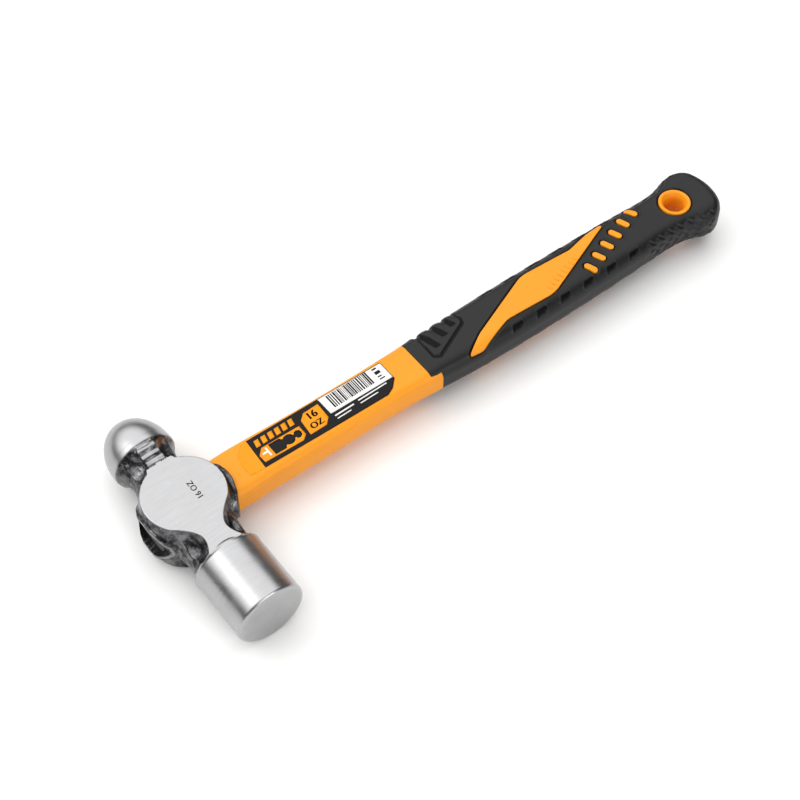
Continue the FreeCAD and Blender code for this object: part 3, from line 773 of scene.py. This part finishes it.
def plates(name, outlines, stations, lift, sink, edge, spacing, material, sides=(1,)):
    """Thin plates with round edges that follow the handle's surface, joined in one piece."""
    points, faces = [], []
    for outline in outlines:
        loop = np.array(evenly(outline, spacing))
        ahead, behind = np.roll(loop, -1, 0) - loop, loop - np.roll(loop, 1, 0)
        area = np.sum(loop[:, 0] * np.roll(loop[:, 1], -1) - np.roll(loop[:, 0], -1) * loop[:, 1])
        ahead /= np.linalg.norm(ahead, axis=1)[:, None]
        behind /= np.linalg.norm(behind, axis=1)[:, None]
        lean = (ahead + behind) * np.sign(area)
        lean /= np.linalg.norm(lean, axis=1)[:, None]
        inward = np.stack([-lean[:, 1], lean[:, 0]], 1)
        bend = np.radians((0, 30, 60, 90)) if edge > 0 else [0.0]
        steps = [(0.0, -sink)] + [(edge * (1 - math.cos(a)), lift - edge * (1 - math.sin(a)))
                                  for a in bend]
        inner = loop + inward * steps[-1][0]
        low, high = inner.min(0), inner.max(0)
        gx, gy = np.meshgrid(np.arange(low[0], high[0], spacing),
                             np.arange(low[1], high[1], spacing))
        gx, gy = gx.ravel(), gy.ravel()
        keep = to_outline(gx, gy, [tuple(p) for p in inner]) < -0.5 * spacing
        flat = [Vector(p) for p in inner] + [Vector(p) for p in zip(gx[keep], gy[keep])]
        count = len(loop)
        borders = [(k, (k + 1) % count) for k in range(count)]
        made = geometry.delaunay_2d_cdt(flat, borders, [], 1, 1e-5)
        for side in sides:
            base = len(points)
            for inset, height in steps[:-1]:
                ring_xy = loop + inward * inset
                level = top_height(stations, ring_xy[:, 0], ring_xy[:, 1]) + height
                points += [(px, py, side * pz) for (px, py), pz in zip(ring_xy, level)]
            top = np.array([tuple(p) for p in made[0]])
            level = top_height(stations, top[:, 0], top[:, 1]) + steps[-1][1]
            start = len(points)
            points += [(px, py, side * pz) for (px, py), pz in zip(top, level)]
            faces += [tuple(start + i for i in f) for f in made[2]]
            rings = [[base + r * count + k for k in range(count)] for r in range(len(steps) - 1)]
            rings.append([start + next(i for i, origin in enumerate(made[3]) if k in origin)
                          for k in range(count)])
            for a, b in zip(rings, rings[1:]):
                faces += [(a[k], a[(k + 1) % count], b[(k + 1) % count], b[k])
                          for k in range(count)]
    made = piece(name, points, faces, [material])
    solid = bmesh.new()
    solid.from_mesh(made.data)
    bmesh.ops.recalc_face_normals(solid, faces=solid.faces)
    solid.to_mesh(made.data)
    solid.free()
    return made


inlay = plates("jacket_inlay", [inlay_outline], GRIP, 0.12, 0.9, 0.25, 0.7, orange_plastic,
               (1, -1))
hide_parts("handle_jacket")
ribs = [pad_outline(RIB_START[0] + RIB_STEP[0] * k, RIB_START[1] + RIB_STEP[1] * k, 2.6, 0.8,
                    slant + math.pi / 2) for k in range(RIBS)]
inlay_ribs = plates("inlay_ribs", ribs, GRIP, 0.42, 0.2, 0.15, 0.4, orange_plastic)
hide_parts("handle_jacket")
marks = plates("jacket_marks", mark_outlines, GRIP, 0.15, 0.9, 0.25, 0.7, orange_plastic,
               (1, -1))
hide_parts("handle_jacket")

hole_top = float(top_height(GRIP, np.array(HOLE[0]), np.array(HOLE[1])))
lip = hole_top + 0.2
profile = [(EYELET_R, hole_top - 1.2), (EYELET_R, lip - 0.3), (EYELET_R - 0.1, lip - 0.1),
           (EYELET_R - 0.3, lip), (6.1, lip), (5.85, lip - 0.08), (5.6, lip - 0.3),
           (5.0, lip - 1.5), (4.65, lip - 2.2), (HOLE_R, lip - 3.0), (HOLE_R, 0.0)]
profile += [(r, -h) for r, h in reversed(profile[:-1])]
around = np.radians(np.arange(0, 360, 4))
eyelet_points = [(HOLE[0] + r * math.cos(a), HOLE[1] + r * math.sin(a), h)
                 for r, h in profile for a in around]
eyelet = piece("jacket_eyelet", eyelet_points, net(len(profile), len(around)), [orange_plastic])
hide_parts("handle_jacket")


# --- Neck label -------------------------------------------------------------------------
# A printed sticker on the flat of the bare neck: clear film with orange, black and white inks.
# It carries the weight, a picture of the head and a bar pattern.
STICKER = [
    (27.4, -5.6), (34.2, -6.1), (65.2, -7.0), (94.6, -7.8), (98.2, -6.1), (101.8, -2.4),
    (101.8, 8.0), (70.0, 9.0), (33.2, 9.6), (28.5, 5.5), (27.1, 0.0),
]
BLACK_ZONE = [
    (34.2, -5.9), (65.2, -6.9), (94.5, -7.6), (98.0, -6.0), (101.6, -2.4), (101.6, 7.8),
    (70.0, 8.8), (35.2, 9.4),
]
WHITE_ZONE = [(70.3, -0.8), (101.4, -1.4), (101.4, 7.4), (70.1, 8.3)]
WEIGHT_CELL = [(57.8, -4.1), (65.8, -4.1), (68.5, -1.5), (68.8, 6.4), (61.3, 6.2), (58.5, 3.7)]
PICTURE_CELL = [(35.7, -3.8), (54.0, -4.6), (56.4, -2.7), (56.4, 2.2), (38.2, 2.8), (35.5, 0.0)]
PICTURE_HEAD = [         # outline of the pictured head, striking face at the left
    (41.2, -3.3), (46.4, -3.5), (46.8, -2.7), (47.4, -2.2), (48.4, -2.9), (49.9, -3.1),
    (51.3, -2.5), (51.9, -1.5), (52.5, -1.5), (52.8, -2.3), (54.0, -2.6), (55.2, -1.9),
    (55.6, -0.6), (55.2, 0.7), (54.0, 1.3), (52.8, 1.0), (52.5, 0.2), (51.9, 0.2),
    (51.4, 1.2), (50.0, 1.9), (48.4, 1.7), (47.4, 1.0), (46.8, 1.5), (46.4, 2.2), (41.2, 2.4),
]
PICTURE_T = [(39.2, -2.6), (40.0, -2.6), (40.0, 2.0), (39.2, 2.0), (39.2, 0.3), (36.9, 0.3),
             (36.9, -0.6), (39.2, -0.6)]
FILM = 0.07              # height of the film, and of each ink laid over the last
INK = 0.03
RULES = [                # thin printed rules: start X, Y, length, height
    (71.0, -3.0, 9.6, 0.7), (83.0, -2.6, 14.5, 0.6), (83.0, -4.2, 9.0, 0.5), (71.0, -4.6, 7.0, 0.5),
]
SMALL_PRINT = [
    (96.4, 0.4, 2.6, 0.6), (96.4, 1.8, 2.0, 0.6), (96.4, 3.4, 2.6, 1.6), (96.4, 6.0, 2.2, 0.8),
]
STRIPES = 6              # slanting stripes in a row
STRIPE_X = 36.8
STRIPE_PITCH = 3.3
STRIPE_LOW = 3.9
STRIPE_HIGH = 7.3
BARS_FROM = 73.4         # the bar pattern along X, its lower edge and its height
BARS_TO = 93.6
BARS_LOW = 0.6
BARS_TALL = 7.0
WAVE = 3.0               # size of the waves in the printed film


def upright_box(x, y, wide, tall):
    """Outline of a plain rectangle."""
    return [(x, y), (x + wide, y), (x + wide, y + tall), (x, y + tall)]


def ink(name, dark, light):
    """Flexographic ink on polyester film: nearly flat colour under a wavy, glossy skin."""
    material, tree = blank_material(name)
    place = add(tree, "ShaderNodeTexCoord").outputs["Object"]
    wave = add(tree, "ShaderNodeTexNoise", {
        "Vector": place, "Scale": 1000 / WAVE, "Detail": 3.0}).outputs["Fac"]
    tone = add(tree, "ShaderNodeMix", {
        0: wave, 6: linear(dark), 7: linear(light)}, data_type="RGBA")
    gloss = add(tree, "ShaderNodeMapRange", {
        "Value": wave, "To Min": 0.3, "To Max": 0.45}).outputs[0]
    film = add(tree, "ShaderNodeBump", {"Height": wave, "Strength": 0.2, "Distance": 0.00003})
    finish_material(tree, add(tree, "ShaderNodeBsdfPrincipled", {
        "Base Color": tone.outputs[2], "Roughness": gloss, "Specular IOR Level": 0.15,
        "Normal": film.outputs[0]}))
    return material


def lettering(words, tall, x, y, angle, bold):
    """Plan points and faces of a line of letters about its middle, laid thrice to look bold."""
    text = bpy.data.curves.new("words", "FONT")
    text.body = words
    text.align_x = text.align_y = "CENTER"
    text.size = tall / 0.7
    holder = bpy.data.objects.new("words", text)
    shape = bpy.data.meshes.new_from_object(holder)
    c, s = math.cos(angle), math.sin(angle)
    made, sides = [], []
    for shift in (-bold, 0.0, bold):
        start = len(made)
        made += [(x + c * (v.co.x + shift) - s * v.co.y, y + s * (v.co.x + shift) + c * v.co.y)
                 for v in shape.vertices]
        sides += [tuple(start + i for i in p.vertices) for p in shape.polygons]
    bpy.data.objects.remove(holder)
    bpy.data.curves.remove(text)
    bpy.data.meshes.remove(shape)
    return made, sides


orange_ink = ink("orange_ink", "#EA9010", "#F29A1A")
black_ink = ink("black_ink", "#0E0C0D", "#181516")
white_ink = ink("white_ink", "#E6E4E0", "#F6F5F2")
layers = [
    ("label_film", [STICKER], FILM, orange_ink),
    ("label_black", [BLACK_ZONE], FILM + INK, black_ink),
    ("label_white", [WHITE_ZONE], FILM + 2 * INK, white_ink),
    ("label_cells", [WEIGHT_CELL, PICTURE_CELL], FILM + 2 * INK, orange_ink),
]
stripes = []
for k in range(STRIPES):
    left = STRIPE_X + STRIPE_PITCH * k
    stripes.append([(left, STRIPE_LOW), (left + 2.2, STRIPE_LOW), (left + 2.9, STRIPE_HIGH),
                    (left + 0.7, STRIPE_HIGH)])
layers.append(("label_stripes", stripes, FILM + 2 * INK, orange_ink))
layers.append(("label_rules", [upright_box(*rule) for rule in RULES], FILM + 2 * INK, white_ink))
layers.append(("label_picture", [PICTURE_HEAD], FILM + 3 * INK, black_ink))
layers.append(("label_t", [PICTURE_T], FILM + 3 * INK, white_ink))
bars, left, widths = [], BARS_FROM, np.random.default_rng(7)
while left < BARS_TO:
    wide = float(widths.choice([0.25, 0.35, 0.55, 0.75]))
    bars.append(upright_box(left, BARS_LOW, wide, BARS_TALL))
    left += wide + float(widths.choice([0.25, 0.35, 0.5]))
layers.append(("label_bars", bars + [upright_box(*mark) for mark in SMALL_PRINT],
               FILM + 3 * INK, black_ink))
for name, outlines, lift, material in layers:
    layer = plates(name, outlines, NECK, lift, 0.0, 0.0, 0.8, material)
    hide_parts("neck_label")

for name, words, tall, x, y, bold in (("label_weight", "16", 3.5, 63.7, 3.5, 0.2),
                                      ("label_unit", "OZ", 2.9, 63.0, -1.3, 0.2)):
    plan, sides = lettering(words, tall, x, y, 0.0, bold)
    px, py = np.array(plan).T
    level = top_height(NECK, px, py) + FILM + 3 * INK
    print_piece = piece(name, np.stack([px, py, level], 1), sides, [black_ink])
    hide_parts("neck_label")


# --- Weight mark on the cheek -----------------------------------------------------------
# The weight is etched dark into the ground cheek.  Its letters lie just above the steel so
# that they show.
etched, tree = blank_material("etched_steel")
# Electro-etching leaves a dark, matt and slightly broken mark.
BREAK = 0.4              # size of the breaks, coarser than real ones so that they show
place = add(tree, "ShaderNodeTexCoord").outputs["Object"]
broken = add(tree, "ShaderNodeTexNoise", {
    "Vector": place, "Scale": 1000 / BREAK, "Detail": 3.0}).outputs["Fac"]
tone = add(tree, "ShaderNodeMix", {
    0: broken, 6: linear("#2A2A2B"), 7: linear("#6A6A6B")}, data_type="RGBA")
matt = add(tree, "ShaderNodeMapRange", {"Value": broken, "To Min": 0.5, "To Max": 0.75}).outputs[0]
finish_material(tree, add(tree, "ShaderNodeBsdfPrincipled", {
    "Base Color": tone.outputs[2], "Metallic": 1.0, "Roughness": matt}))
plan, sides = lettering("16 OZ", 2.4, 4.5, -1.5, math.pi / 2, 0.05)
piece("cheek_weight", [(px, py, CHEEK_Z + 0.06) for px, py in plan], sides, [etched])
